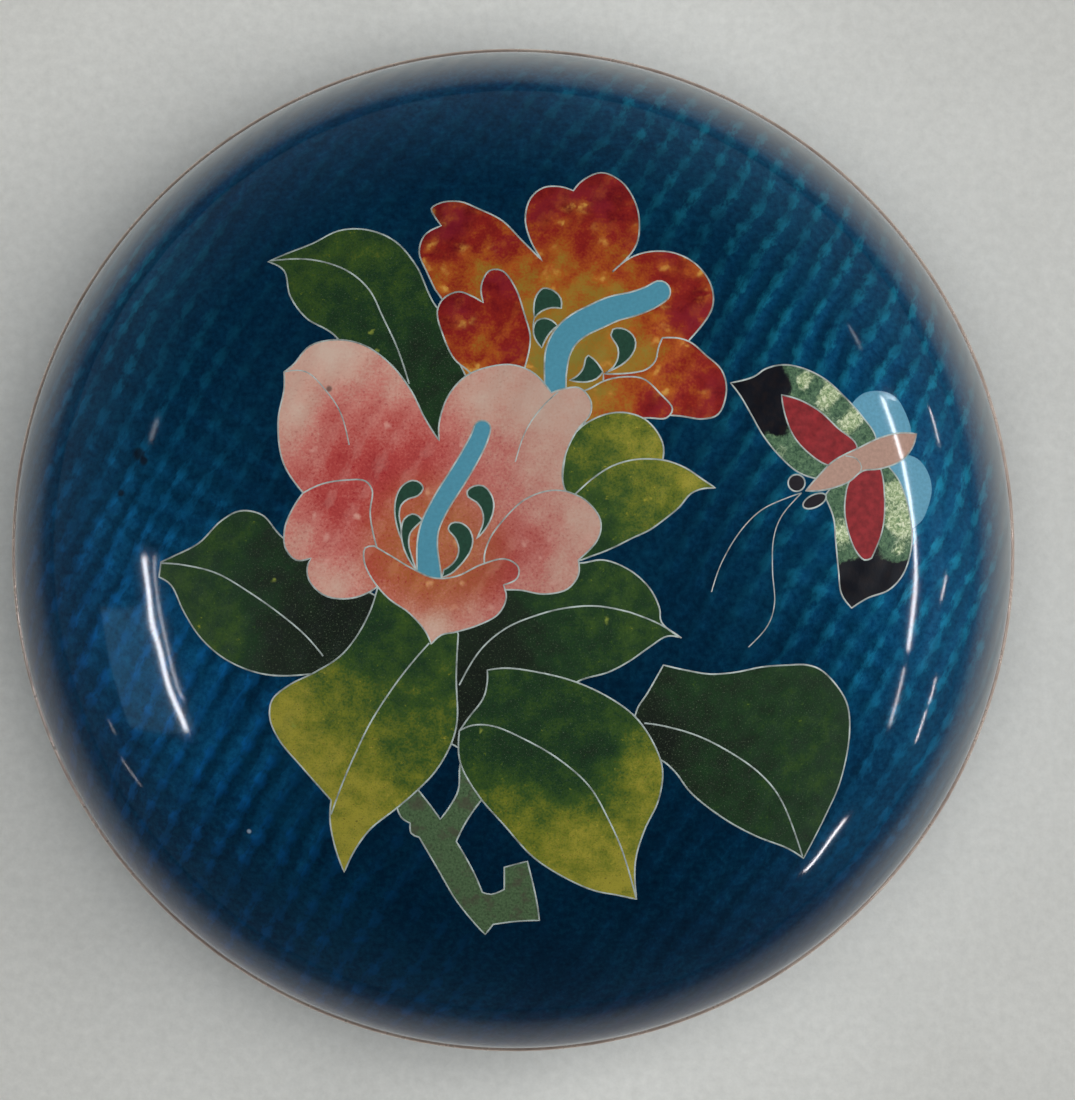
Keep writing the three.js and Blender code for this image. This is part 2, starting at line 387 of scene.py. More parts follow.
def draw_red_blossom():
    # Three upper petals and the throat
    red_petal(
        [(-8.6, 27.7), (-9.4, 29.7), (-8.9, 31.4), (-7.2, 32.4)],
        [(-7.9, 33.4), (-8.2, 34.1), (-7.2, 34.7), (-5.3, 34.8), (-3.5, 34.1), (-1.1, 32.9), (0.8, 31.0),
         (2.9, 28.9)],
        [(1.7, 31.0), (1.2, 33.1), (1.7, 35.1), (3.0, 36.2), (4.7, 36.3), (6.0, 35.9)],
        [(6.9, 36.9), (8.8, 37.7), (10.8, 36.8), (12.2, 34.7), (12.6, 32.5), (12.2, 30.3), (9.9, 27.8)],
        [(11.7, 29.2), (13.6, 29.8), (16.0, 29.7), (18.2, 28.6), (19.7, 26.6), (19.9, 24.3),
         (17.6, 21.0)],
        [(14, 15.5), (9, 15), (4, 13), (-2, 14), (-6, 20)],
        [(-6.6, 24.0), (-7.8, 26.0)],
        shade=[(-6, 32, 0.05), (-1, 31, 0.3), (-3, 28, 0.6), (2, 25, 0.75), (5, 35, 0.15), (9, 35, 0.1),
               (7, 31, 0.35), (5, 28, 0.6), (12, 22, 0.55), (16, 27, 0.25), (18, 24, 0.1),
               (11, 19, 0.85), (6, 20, 1.0), (2, 17, 1.0), (9, 24, 0.8)],
    )
    # Lower right petals
    red_petal(
        [(16.6, 21.15), (17.8, 20.7), (19.2, 19.5), (20.8, 18.0), (21.3, 16.0), (20.5, 13.6),
         (19.0, 13.1), (16.6, 13.4), (12, 13.8), (9, 15.3)],
        [(9.0, 17.6)],
        [(10.5, 17.6), (12.2, 17.75), (13.3, 18.05), (14.2, 18.9), (14.5, 20.2), (14.9, 21.2)],
        shade=[(15, 18, 0.55), (18, 19, 0.3), (20.5, 16, 0.1), (17, 15, 0.35)],
    )
    red_petal(
        [(6.5, 15.5), (7.8, 16.2), (9.1, 16.9), (11.0, 17.3), (13.0, 17.1), (14.7, 15.6), (15.9, 14.1),
         (15.3, 13.2), (13.2, 13.2), (9, 12.5), (6, 13)],
        shade=[(9, 15.5, 0.85), (11, 16, 0.5), (14, 14.5, 0.15)],
    )
    # Heart-shaped petal on the left
    red_petal(
        [(-3.2, 26.4), (-2.4, 27.9), (-1.1, 27.9), (0.2, 26.2), (1.1, 23.6), (1.7, 21.2), (1.2, 18.4),
         (0, 15)],
        [(-3, 15.5), (-4.2, 17.6), (-5.9, 19.1), (-7.0, 21.4), (-7.6, 23.8), (-7.0, 25.1), (-5.5, 25.8),
         (-4.0, 25.3), (-3.0, 24.7)],
        shade=[(-6, 24, 0.1), (-1.5, 26.5, 0.15), (0, 23, 0.3), (-3, 21, 0.5), (-3, 18.5, 0.45),
               (0.5, 19, 0.2)],
    )
    # Stamens and pistil
    stamen(
        "red_blossom",
        [(2.05, 24.3), (2.3, 25.4), (3.0, 26.15), (4.1, 25.85), (4.75, 25.1), (4.8, 24.15)],
        [(3.8, 24.2), (2.8, 23.85), (2.1, 23.2)],
    )
    stamen(
        "red_blossom",
        [(2.15, 21.2), (2.0, 22.1), (2.35, 22.9), (3.15, 23.15), (3.9, 22.9), (4.4, 22.4)],
        [(3.7, 21.75), (3.15, 20.9), (2.85, 20.2)],
    )
    stamen(
        "red_blossom",
        [(10.0, 18.3), (10.45, 19.2), (10.45, 20.2), (9.75, 21.5), (9.95, 22.05), (10.8, 22.15),
         (11.6, 21.8), (12.15, 21.1), (12.2, 20.3), (11.7, 19.3), (10.8, 18.5), (9.2, 17.7)],
    )
    stamen(
        "red_blossom",
        [(6.4, 17.4), (7.0, 18.2), (7.25, 19.2), (7.5, 19.45)],
        [(8.1, 19.0), (8.6, 18.4), (8.95, 17.8)],
        [(8.3, 17.1), (7.4, 16.8), (6.5, 16.8), (5.6, 16.95)],
    )
    cell(
        "red_blossom",
        "pistil",
        finger(
            [(4.2, 14.5), (4.25, 18.3), (4.5, 19.9), (5.3, 21.4), (6.6, 22.5), (8.2, 23.3), (10.0, 24.1),
             (12.0, 24.6), (13.6, 25.2), (14.6, 25.8)],
            [2.1, 2.15, 2.5, 2.55, 2.6, 2.4, 2.2],
        ),
    )
    vein((2.1, 23.3), (2.0, 22.6), (2.0, 22.1), width=0.8)


def draw_pink_blossom():
    # Two upper petals and the throat
    pink_petal(
        [(-22.0, 18.5), (-20.3, 20.4), (-17.5, 21.0), (-14.8, 20.4), (-12.2, 18.5), (-10.2, 15.9),
         (-8.8, 13.1), (-7.4, 10.9)],
        [(-7.4, 12.7), (-6.5, 15.4), (-4.7, 17.4), (-2.4, 18.3), (-0.1, 18.5), (2.0, 17.7), (3.8, 15.7)],
        [(5.0, 16.1), (6.6, 16.2), (7.7, 15.0), (7.7, 13.6), (6.4, 12.0), (5.2, 9.5), (4.9, 7.2),
         (5.2, 5.9)],
        [(4, 1), (-2, -4), (-10, -5), (-15, 0), (-17, 4), (-21.0, 5.7)],
        [(-23.0, 8.8), (-23.5, 12.9), (-22.9, 16.1), (-22.9, 17.8)],
        shade=[(-18, 19.5, 0.0), (-21.5, 14, 0.1), (-18, 13, 0.55), (-16, 9, 0.78), (-12, 12, 0.6),
               (-12, 16, 0.3), (-9, 9, 0.8), (-13, 7.5, 0.9), (-7, 6, 0.55), (-3, 15, 0.1),
               (-1, 10, 0.45), (2, 14, 0.05), (3, 9, 0.2), (-2, 6, 0.45), (6, 14, 0.07), (-10, 3, 0.6)],
    )
    # Lower left petal
    pink_petal(
        [(-19.1, 6.6), (-16.6, 7.0), (-14.8, 6.9), (-14.1, 6.0), (-14.3, 3.7), (-13.7, 0.5),
         (-12.5, -2.5)],
        [(-13.9, -3.9), (-16.1, -4.8), (-18.7, -4.6), (-20.3, -3.2), (-20.6, -1.8), (-20.2, -0.8)],
        [(-21.7, -1.0), (-22.8, 0.3), (-22.8, 2.3), (-21.9, 4.4), (-21.0, 5.7)],
        shade=[(-18, 4.5, 0.8), (-15.5, 4, 0.7), (-21.5, 1.5, 0.3), (-17, 0, 0.55), (-18, -3, 0.15),
               (-14.5, -2, 0.4)],
    )
    # Lower right petal
    pink_petal(
        [(7.3, 4.9), (8.7, 3.0), (8.5, 1.2), (6.5, -1.0)],
        [(6.5, -2.5), (5.4, -3.9), (3.1, -4.4), (0.6, -4.0), (-1.5, -4.0)],
        [(-2.9, -1.2), (-2.4, 1.0), (-1.0, 3.0), (1.1, 5.0), (3.4, 5.9), (5.2, 5.9)],
        shade=[(-1, 0, 0.75), (2, 1, 0.6), (3, 4, 0.3), (7, 3, 0.12), (5, -2, 0.2), (1, -3, 0.4)],
    )
    # Stamens and pistil
    stamen(
        "pink_blossom",
        [(-11.7, 2.7), (-11.85, 4.1), (-11.65, 5.4), (-11.1, 6.4), (-10.1, 6.95), (-9.3, 6.7),
         (-9.0, 6.15), (-9.5, 5.45), (-10.5, 5.1), (-11.2, 4.5), (-11.4, 3.4), (-11.2, 2.2),
         (-11.25, 1.2)],
    )
    stamen(
        "pink_blossom",
        [(-10.4, -1.0), (-11.0, 0.4), (-11.2, 1.9), (-10.9, 3.1), (-10.1, 3.6), (-9.5, 3.4),
         (-9.1, 2.95)],
        [(-9.7, 2.4), (-10.3, 1.7), (-10.45, 0.6), (-10.1, -0.8), (-9.7, -2.0)],
    )
    stamen(
        "pink_blossom",
        [(-3.3, 1.9), (-3.0, 2.8), (-3.1, 3.9), (-3.7, 4.8), (-4.5, 5.3), (-4.6, 5.9), (-3.9, 6.4),
         (-3.0, 6.4), (-2.3, 5.7), (-1.95, 4.7), (-2.1, 3.5), (-2.8, 2.1), (-3.7, 1.1)],
    )
    stamen(
        "pink_blossom",
        [(-6.2, -1.5), (-5.6, -0.7), (-5.45, 0.2), (-5.8, 1.2), (-6.5, 2.1), (-6.2, 2.65), (-5.4, 2.75),
         (-4.5, 2.2), (-4.05, 1.1), (-4.3, -0.1), (-5.2, -1.4), (-6.3, -2.4), (-7.1, -2.7)],
        [(-6.95, -2.0)],
    )
    cell(
        "pink_blossom",
        "pistil",
        finger(
            [(-8.3, -4.5), (-8.4, -2.6), (-8.6, 0.6), (-8.3, 2.4), (-7.2, 4.7), (-5.5, 7.4), (-4.2, 9.6),
             (-3.4, 11.2), (-3.1, 12.1)],
            [2.5, 2.4, 2.1, 1.9, 1.85, 1.9, 1.9, 1.85, 1.7],
        ),
    )
    # Cup in front
    pink_petal(
        [(-0.7, -4.8), (-1.5, -6.4), (-3.5, -7.5), (-5.8, -8.2), (-7.2, -8.5), (-8.2, -9.4)],
        [(-8.8, -8.1), (-10.4, -6.3), (-12.5, -4.8), (-14.1, -2.9), (-14.9, -1.1), (-14.8, 0.2),
         (-13.9, 0.4)],
        [(-12.2, -0.6), (-10.2, -1.8), (-7.9, -2.8), (-5.6, -2.6), (-3.3, -1.5), (-0.8, -0.9),
         (0.5, -1.7), (0.4, -2.8), (-1.0, -3.5)],
        shade=[(-13.5, -1, 0.75), (-9, -3.5, 0.8), (-4, -3.2, 0.8), (-1, -2, 0.8), (-10, -5.5, 0.4),
               (-4, -6, 0.3), (-8, -7.5, 0.05)],
    )
    # Folds
    vein((-22.9, 17.8), (-20.7, 17.8), (-18.7, 15.9), (-17.3, 13.8), (-16.4, 10.5), width=0.8)
    vein((4.5, 15.8), (2.9, 14.3), (1.3, 12.0), (0.2, 8.8), width=0.8)


def draw_butterfly():
    # Hind wings
    butterfly_part(
        "pale_wing",
        [(32, 12), (33.9, 14.7), (34.9, 15.6), (36.4, 15.9), (37.9, 15.5), (38.9, 14.3),
         (39.6, 11.2), (34, 10)],
        wired=False,
    )
    butterfly_part(
        "pale_wing",
        [(38.9, 9.5), (40.4, 9.1), (41.4, 7.8), (41.8, 6.1), (41.4, 4.2), (40.6, 2.7), (38.8, 2.0),
         (36, 8)],
        wired=False,
    )
    # Fore wings, each with a red field
    butterfly_part(
        "fore_wing",
        [(24.0, 17.3), (25.2, 18.1), (26.9, 18.5), (28.8, 18.2), (31.1, 17.1), (33.2, 15.2),
         (34.9, 13.3), (36.2, 11.3), (36, 9)],
        [(31, 7)],
        [(28.6, 7.7), (26.7, 9.3), (25.0, 11.4), (23.8, 13.5), (22.7, 15.4), (21.7, 16.7)],
        shade=[(24, 17, 0.0), (26, 17.6, 0.0), (27.2, 16.6, 0.0), (25.5, 14, 0.0), (26.4, 11.9, 0.1),
               (24.6, 12.2, 0.1), (25.6, 11.0, 0.8), (26.7, 10.0, 1.5), (28.2, 9.2, 1.0),
               (29.8, 8.2, 0.9), (28.3, 18.0, 0.8), (28.9, 17.0, 2.2), (30.2, 16.2, 0.8),
               (31.4, 15.5, 2.2), (32.6, 14.2, 0.9), (33.7, 13.0, 1.9), (35.2, 11.4, 0.8)],
        blur=0.3,
    )
    butterfly_part(
        "red_wing",
        [(28.6, 15.0), (30.7, 13.8), (32.4, 12.2), (34.3, 10.5), (34, 8.5)],
        [(31.4, 8.5), (29.5, 9.7), (28.0, 11.4), (27.1, 13.7), (26.8, 15.5)],
    )
    butterfly_part(
        "fore_wing",
        [(32.0, 3.2), (32.2, 1.1), (32.5, -2.1), (32.8, -4.4), (33.8, -5.8)],
        [(35.4, -4.8), (37.5, -4.0), (38.9, -2.5), (39.7, -0.2), (39.8, 2.1), (39.3, 4.9),
         (38.5, 7.0), (37.6, 8.2), (36.5, 9.5)],
        [(33, 7.5), (31.1, 5.4)],
        shade=[(33.4, -1.8, 0.0), (35.4, -2, 0.0), (37.4, -1.8, 0.0), (39, -1.7, 0.0), (36, -4, 0.0),
               (36, 0, 0.3), (32.9, -0.1, 1.3), (32.8, 1.6, 1.8), (32.5, 3.4, 1.2), (33.3, 6.0, 0.8),
               (38.4, -0.1, 1.7), (37.5, 1.0, 1.0), (38.4, 2.4, 2.0), (38.2, 4.4, 1.5), (38.3, 6.2, 1.9),
               (37.7, 7.6, 1.0)],
        blur=0.3,
    )
    butterfly_part(
        "red_wing",
        [(33.1, 4.0), (33.5, 1.7), (34.3, -0.2), (35.1, -1.0), (35.8, -0.8)],
        [(36.8, 1.7), (37.1, 3.8), (36.9, 7.4), (36.5, 8.6)],
        [(34, 7.5), (33.3, 6.1)],
    )
    # Body, thorax and eyes
    butterfly_part(
        "body",
        [(38.7, 11.7), (36.6, 11.2), (34.5, 10.2), (32.0, 8.9), (30.3, 7.2), (29.2, 5.9)],
        [(31.1, 6.0), (33.5, 6.8), (34.9, 7.9), (36.6, 8.1), (38.7, 8.9), (39.8, 10.1),
         (40.3, 11.6)],
    )
    cell("butterfly", "eye", ellipse((28.3, 6.7), 0.84, 0.84))
    cell("butterfly", "eye", ellipse((30.1, 4.9), 1.25, 0.62, 0.45))
    vein((33.2, 9.4), (34.3, 9.1), (34.8, 8.3), (34.5, 7.6), width=0.8)
    # Feelers
    vein((28.8, 5.7), (27.6, 5.3), (24.8, 4.0), (22.7, 1.9), (20.8, -1.3), (19.8, -4.2), width=0.7)
    vein((28.8, 5.7), (26.7, 3.2), (26.0, 1.1), (25.9, -2.1), (26.1, -5.3), (25.5, -7.4), (23.5, -9.7),
         width=0.7)


def draw_picture():
    """All the cells from back to front."""
    draw_leaves()
    draw_red_blossom()
    draw_small_leaf()
    draw_pink_blossom()
    draw_butterfly()


# Meshes


def new_object(name, points, faces, materials, slots=None):
    """A mesh object from points in millimetres."""
    mesh = bpy.data.meshes.new(name)
    mesh.from_pydata((np.asarray(points) * MM).tolist(), [], faces)
    for material in materials:
        mesh.materials.append(material)
    if slots is not None:
        mesh.polygons.foreach_set("material_index", slots)
    obj = bpy.data.objects.new(name, mesh)
    bpy.context.scene.collection.objects.link(obj)
    return obj


def paint(mesh, name, values):
    """A number on each corner of a mesh, for its material to read."""
    attribute = mesh.attributes.new(name, "FLOAT", "CORNER")
    attribute.data.foreach_set("value", np.asarray(values, np.float32))


def paint_sheet(mesh, values):
    """Each corner's place on the flattened foil, in millimetres."""
    attribute = mesh.attributes.new("sheet", "FLOAT_VECTOR", "CORNER")
    flat = np.zeros((len(values), 3), np.float32)
    flat[:, :2] = values
    attribute.data.foreach_set("vector", flat.ravel())


def paint_uv(mesh, values, hidden):
    """A texture layout that follows the sheet. Faces that don't show share a small strip below it."""
    low, high = values[~hidden].min(0), values[~hidden].max(0)
    share = (values - low) / (high - low).max()
    place = np.where(hidden[:, None], 0.02 * share, 0.04 + 0.95 * share)
    layer = mesh.uv_layers.new(name="OFBake")
    layer.uv.foreach_set("vector", place.astype(np.float32).ravel())


def turned(name, profile, material):
    """A fine solid of revolution from a closed profile of [radius, height]."""
    points, rings = [], []
    for radius, height in profile:
        count = ROUND_STEPS if radius > 1e-6 else 1
        rings.append((len(points), count))
        turns = 2 * math.pi * np.arange(count) / ROUND_STEPS
        points += [(radius * math.cos(t), radius * math.sin(t), height) for t in turns]
    faces, corners = [], []
    lengths = np.concatenate([[0], np.cumsum(np.linalg.norm(np.diff(profile, axis=0), axis=1))])
    around = 2 * math.pi * max(radius for radius, _ in profile) / ROUND_STEPS
    for i, (low, high) in enumerate(zip(rings, rings[1:])):
        for j in range(ROUND_STEPS):
            loop = []
            for (start, count), length, step in (
                (low, lengths[i], j),
                (low, lengths[i], j + 1),
                (high, lengths[i + 1], j + 1),
                (high, lengths[i + 1], j),
            ):
                place = start + (step % ROUND_STEPS if count > 1 else 0)
                if place not in [p for p, _ in loop]:
                    loop.append((place, (step * around, length)))
            if len(loop) > 2:
                faces.append([p for p, _ in loop])
                corners += [c for _, c in loop]
    obj = new_object(name, points, faces, [material])
    obj.data.shade_smooth()
    obj.data.set_sharp_from_angle(angle=TURNED_SHARP)
    paint_sheet(obj.data, np.array(corners))
    return obj


def quarter(flat, level, reach, rise):
    """Profile points of an elliptical wall from its crown or floor to its mouth."""
    turns = np.linspace(0, math.pi / 2, WALL_STEPS + 1)
    return [(flat + reach * math.sin(t), level + rise * math.cos(t)) for t in turns]


def bead(low, high, inner):
    """The rounded metal edge between two heights, from its lower inner point to its upper inner point."""
    middle, half = (low + high) / 2, (high - low) / 2
    curve = []
    for turn in np.linspace(-math.pi / 2, math.pi / 2, BEAD_STEPS + 1):
        out = abs(math.cos(turn)) ** BEAD_POWER
        up = math.copysign(abs(math.sin(turn)) ** BEAD_POWER, turn)
        curve.append((EDGE_RADIUS - BEAD_ROUND + BEAD_ROUND * out, middle + half * up))
    return [(inner, low), *curve, (inner, high)]


class Picture:
    """The dome's flattened sheet cut into triangles along the picture's lines."""

    def __init__(self):
        for one in cells:
            one["sheet"] = anticlockwise(sheet_from_view(one["line"]))
            places = np.array(one["shade"], float)
            one["tones"] = np.column_stack([sheet_from_view(places[:, :2]), places[:, 2]])
        self.cut()
        self.find_lines()

    def cut(self):
        rim_turns = 2 * math.pi * np.arange(ROUND_STEPS * 2) / (ROUND_STEPS * 2)
        rim = SHEET_RADIUS * np.stack([np.cos(rim_turns), np.sin(rim_turns)], axis=1)
        lines = [rim] + [one["sheet"] for one in cells]
        drawn = np.vstack(lines)
        filling = self.filling(drawn)
        faces, start = [], 0
        for line in lines:
            faces.append(list(range(start, start + len(line))))
            start += len(line)
        points = [Vector(p) for p in np.vstack([drawn, filling])]
        found, _, triangles, _, _, owners = delaunay_2d_cdt(points, [], faces, 1, 1e-5, True)
        self.points = np.array([tuple(p) for p in found])
        keep = [i for i, owner in enumerate(owners) if owner]
        self.triangles = np.array([triangles[i] for i in keep])
        self.top = np.array([max(owners[i]) - 1 for i in keep])

    def filling(self, drawn):
        """Evenly spread points that stay clear of the lines."""
        rows = np.arange(-SHEET_RADIUS, SHEET_RADIUS, SHEET_STEP * math.sqrt(0.75))
        columns = np.arange(-SHEET_RADIUS, SHEET_RADIUS, SHEET_STEP)
        grid = np.array([(x + (i % 2) * SHEET_STEP / 2, y) for i, y in enumerate(rows) for x in columns])
        grid = grid[np.linalg.norm(grid, axis=1) < SHEET_RADIUS - SHEET_STEP / 2]
        tree = KDTree(len(drawn))
        for i, (x, y) in enumerate(drawn):
            tree.insert((x, y, 0), i)
        tree.balance()
        clear = [tree.find((x, y, 0))[2] > FILLING_GAP for x, y in grid]
        return grid[np.array(clear)]

    def find_lines(self):
        """The edges where a wire parts one enamel from another."""
        sides = defaultdict(list)
        for i, (a, b, c) in enumerate(self.triangles):
            for edge in ((a, b), (b, c), (c, a)):
                sides[tuple(sorted(edge))].append(self.top[i])
        self.wired = [
            edge
            for edge, tops in sides.items()
            if len(tops) == 2 and tops[0] != tops[1] and any(t >= 0 and cells[t]["wired"] for t in tops)
        ]

    def chains(self):
        """The wired edges joined end to end, as lists of points of the sheet."""
        links = defaultdict(set)
        for a, b in self.wired:
            links[a].add(b)
            links[b].add(a)
        ends = {point: set(others) for point, others in links.items()}
        paths = []

        def walk(start, following):
            path = [start, following]
            links[start].discard(following)
            links[following].discard(start)
            while len(ends[path[-1]]) == 2 and links[path[-1]]:
                here = path[-1]
                after = links[here].pop()
                links[after].discard(here)
                path.append(after)
            return path

        for point in sorted(ends):
            if len(ends[point]) != 2:
                while links[point]:
                    paths.append(walk(point, min(links[point])))
        for point in sorted(ends):
            while links[point]:
                paths.append(walk(point, min(links[point])))
        return [self.points[path] for path in paths]

    def inlay(self, name, figure, materials):
        """A closed piece of enamel, flush with the dome, for the cells of one figure, or for the ground."""
        mine = [i for i, one in enumerate(cells) if one["figure"] == figure]
        chosen = np.isin(self.top, mine) if mine else self.top < 0
        triangles, tops = self.triangles[chosen], self.top[chosen]
        used, local = np.unique(triangles, return_inverse=True)
        local = local.reshape(-1, 3)
        sheet = self.points[used]
        outer, outer_normal = dome_from_sheet(sheet)
        inner, inner_normal = dome_from_sheet(sheet, GLASS)
        count = len(used)
        seen = defaultdict(int)
        for a, b, c in local:
            for edge in ((a, b), (b, c), (c, a)):
                seen[edge] += 1
        rims = [edge for edge in seen if edge[::-1] not in seen]
        walls = [(b, a, a + count, b + count) for a, b in rims]
        faces = [tuple(t) for t in local] + [tuple(t[::-1] + count) for t in local] + walls
        names = list(materials)
        slot = [names.index(cells[t]["enamel"]) if t >= 0 else 0 for t in tops]
        obj = new_object(
            name,
            np.vstack([outer, inner]),
            faces,
            list(materials.values()),
            slot + slot + [0] * len(walls),
        )
        flat_corners = np.concatenate([np.ravel(local), np.ravel(local[:, ::-1]), np.ravel(walls) % count])
        hidden = np.arange(len(flat_corners)) >= local.size
        self.finish_inlay(obj, local, tops, sheet, (outer_normal, inner_normal), flat_corners, hidden)
        return obj

    def finish_inlay(self, obj, local, tops, sheet, normals, flat_corners, hidden):
        """Exact normals, and what the materials read: the sheet, the tone, and how far in from the mouth."""
        mesh = obj.data
        mesh.shade_smooth()
        polygon_normals = np.zeros(len(mesh.polygons) * 3, np.float32)
        mesh.polygons.foreach_get("normal", polygon_normals)
        walls = polygon_normals.reshape(-1, 3)[2 * len(local) :]
        corner_normals = np.vstack(
            [normals[0][np.ravel(local)], -normals[1][np.ravel(local[:, ::-1])], np.repeat(walls, 4, axis=0)]
        )
        mesh.normals_split_custom_set(corner_normals.tolist())
        paint_sheet(mesh, sheet[flat_corners])
        paint_uv(mesh, sheet[flat_corners], hidden)
        tone = np.zeros(len(flat_corners))
        owner = np.repeat(tops, 3)
        for index in set(tops) - {-1}:
            where = np.nonzero(owner == index)[0]
            places = sheet[flat_corners[where]]
            tone[where] = blend_tones(places, cells[index]["tones"], cells[index]["blur"])
        paint(mesh, "tone", tone)
        paint(mesh, "edge", SHEET_RADIUS - np.linalg.norm(sheet[flat_corners], axis=1))


def blend_tones(places, tones, blur):
    """The tones of the nearest shaded places, blended."""
    gap = np.linalg.norm(places[:, None] - tones[None, :, :2], axis=2)
    weight = 1 / (gap + blur) ** 3
    return (weight * tones[:, 2]).sum(1) / weight.sum(1)


def wire_mesh(paths, material):
    """Flat wires set into the dome along paths of the sheet. Each path comes with its width."""
    points, faces = [], []
    for path, width in paths:
        keep = np.concatenate([[True], np.linalg.norm(np.diff(path, axis=0), axis=1) > TOUCHING])
        path = path[keep]
        if len(path) < 2:
            continue
        place, normal = dome_from_sheet(path)
        ahead = np.gradient(place, axis=0)
        closed = len(path) > 3 and np.linalg.norm(path[0] - path[-1]) < TOUCHING
        if closed:
            ahead[0] = ahead[-1] = place[1] - place[-2]
        ahead /= np.linalg.norm(ahead, axis=1)[:, None]
        side = np.cross(normal, ahead)
        half = WIRE_WIDTH * width / 2
        section = [
            (-half, -WIRE_DEPTH),
            (-half, WIRE_PROUD * 0.3),
            (-half * 0.5, WIRE_PROUD),
            (half * 0.5, WIRE_PROUD),
            (half, WIRE_PROUD * 0.3),
            (half, -WIRE_DEPTH),
        ]
        start, size = len(points), len(section)
        for centre, out, across in zip(place, normal, side):
            points += [centre + across * a + out * b for a, b in section]
        for i in range(len(path) - 1):
            for j in range(size):
                a, b = start + i * size + j, start + i * size + (j + 1) % size
                faces.append((a, b, b + size, a + size))
        faces.append(tuple(range(start + size - 1, start - 1, -1)))
        last = start + (len(path) - 1) * size
        faces.append(tuple(range(last, last + size)))
    obj = new_object("picture_wires", points, faces, [material])
    obj.data.shade_smooth()
    obj.data.set_sharp_from_angle(angle=WIRE_SHARP)
    return obj


# Materials


